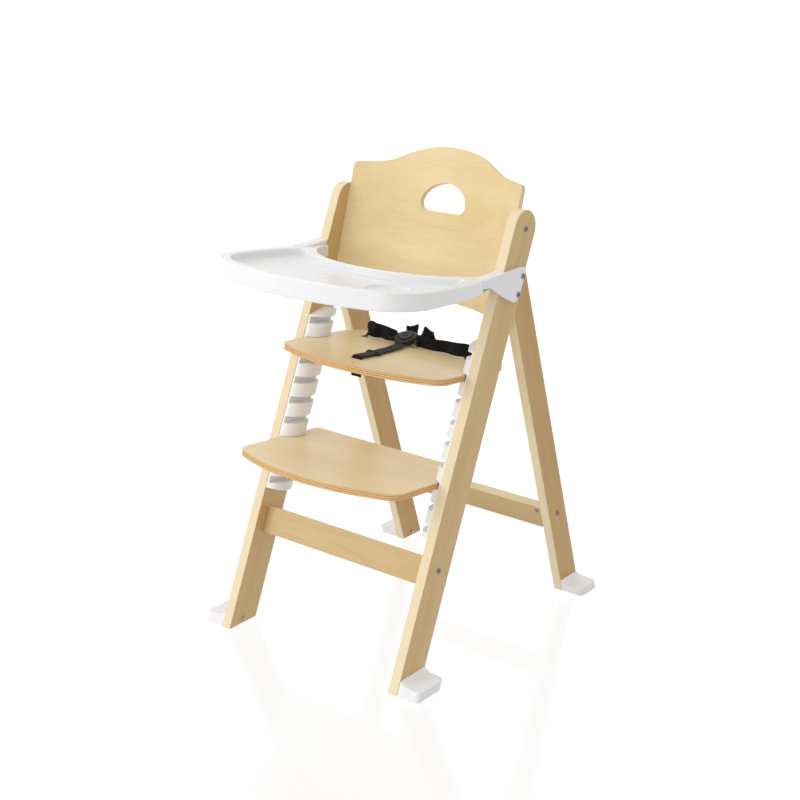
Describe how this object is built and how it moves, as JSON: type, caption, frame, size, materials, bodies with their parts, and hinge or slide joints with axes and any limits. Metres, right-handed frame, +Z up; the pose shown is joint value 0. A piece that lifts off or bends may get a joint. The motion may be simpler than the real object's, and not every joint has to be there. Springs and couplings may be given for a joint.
{
  "type": "baby high chair",
  "caption": "Wooden A-frame baby high chair with a clip-on tray, curved backrest, and seat and footrest boards that slide in slotted side rails.",
  "frame": {"origin": "on the floor, at the middle of the chair's footprint and overall box", "axes": "+Z up; the child faces -Y; +X is the right-hand side seen from the front"},
  "size_m": [0.5356, 0.6774, 0.9227],
  "materials": {
    "birch_ply": "satin clear lacquer",
    "white_plastic": "gloss",
    "white_foot_plastic": "satin",
    "grey_plastic": "satin",
    "steel": "zinc plated",
    "webbing": "woven",
    "black_plastic": "satin",
    "label": "woven",
    "beech": "raw"
  },
  "bodies": {
    "frame": {"front_leg_right": "birch_ply", "front_leg_left": "birch_ply", "rear_leg_right": "birch_ply", "rear_leg_left": "birch_ply", "front_crossbar": "birch_ply", "rear_crossbar": "birch_ply", "backrest": "birch_ply", "side_rail_right": "white_plastic", "side_rail_left": "white_plastic", "tray_bracket_right": "white_plastic", "tray_bracket_left": "white_plastic", "front_foot_right": "white_foot_plastic", "front_foot_left": "white_foot_plastic", "rear_foot_right": "white_foot_plastic", "rear_foot_left": "white_foot_plastic", "front_crossbar_bolt_right": "steel", "front_crossbar_bolt_left": "steel", "rear_crossbar_bolt_right": "steel", "rear_crossbar_bolt_left": "steel", "front_barrel_nut_right": "steel", "front_barrel_nut_left": "steel", "rear_barrel_nut_right": "steel", "rear_barrel_nut_left": "steel", "front_foot_screw_right": "steel", "front_foot_screw_left": "steel", "rear_foot_screw_right": "steel", "rear_foot_screw_left": "steel", "backrest_bolt_right": "steel", "backrest_bolt_left": "steel", "backrest_dowel_right": "beech", "backrest_dowel_left": "beech", "bracket_bolt_right_1": "steel", "bracket_bolt_right_2": "steel", "bracket_bolt_left_1": "steel", "bracket_bolt_left_2": "steel", "rail_screw_right_1": "steel", "rail_screw_right_2": "steel", "rail_screw_right_3": "steel", "rail_screw_right_4": "steel", "rail_screw_right_5": "steel", "rail_screw_left_1": "steel", "rail_screw_left_2": "steel", "rail_screw_left_3": "steel", "rail_screw_left_4": "steel", "rail_screw_left_5": "steel"},
    "tray": {"tray": "white_plastic"},
    "tray_latch_right": {"tray_latch_right": "grey_plastic"},
    "tray_latch_left": {"tray_latch_left": "grey_plastic"},
    "seat": {"seat_board": "birch_ply", "buckle_body": "black_plastic", "lap_strap_right": "webbing", "lap_strap_left": "webbing", "crotch_strap": "webbing", "crotch_adjuster": "black_plastic", "shoulder_loop_right": "webbing", "shoulder_loop_left": "webbing", "seat_tag": "label"},
    "buckle_button": {"buckle_button": "black_plastic"},
    "footrest": {"footrest_board": "birch_ply"}
  },
  "joints": [
    {"name": "tray_slide", "type": "slide", "parent": "frame", "child": "tray", "axis": [0, -0.9956, 0.0941], "range_m": [0, 0.1]},
    {"name": "seat_slide", "type": "slide", "parent": "frame", "child": "seat", "axis": [0, -0.9956, 0.0941], "range_m": [0, 0.15]},
    {"name": "footrest_slide", "type": "slide", "parent": "frame", "child": "footrest", "axis": [0, -0.9956, 0.0941], "range_m": [0, 0.15]},
    {"name": "tray_latch_right_hinge", "type": "hinge", "parent": "frame", "child": "tray_latch_right", "pos_m": [0.211, -0.01156, 0.7187], "axis": [1, 0, 0], "range_deg": [0, 12], "stiffness_Nm_per_rad": 0.2, "springref_deg": -8.59},
    {"name": "tray_latch_left_hinge", "type": "hinge", "parent": "frame", "child": "tray_latch_left", "pos_m": [-0.211, -0.01156, 0.7187], "axis": [1, 0, 0], "range_deg": [0, 12], "stiffness_Nm_per_rad": 0.2, "springref_deg": -8.59},
    {"name": "buckle_button_press", "type": "slide", "parent": "seat", "child": "buckle_button", "axis": [0, 0.2521, -0.9677], "range_m": [0, 0.0022], "stiffness_N_per_m": 400, "springref_m": -0.002}
  ]
}
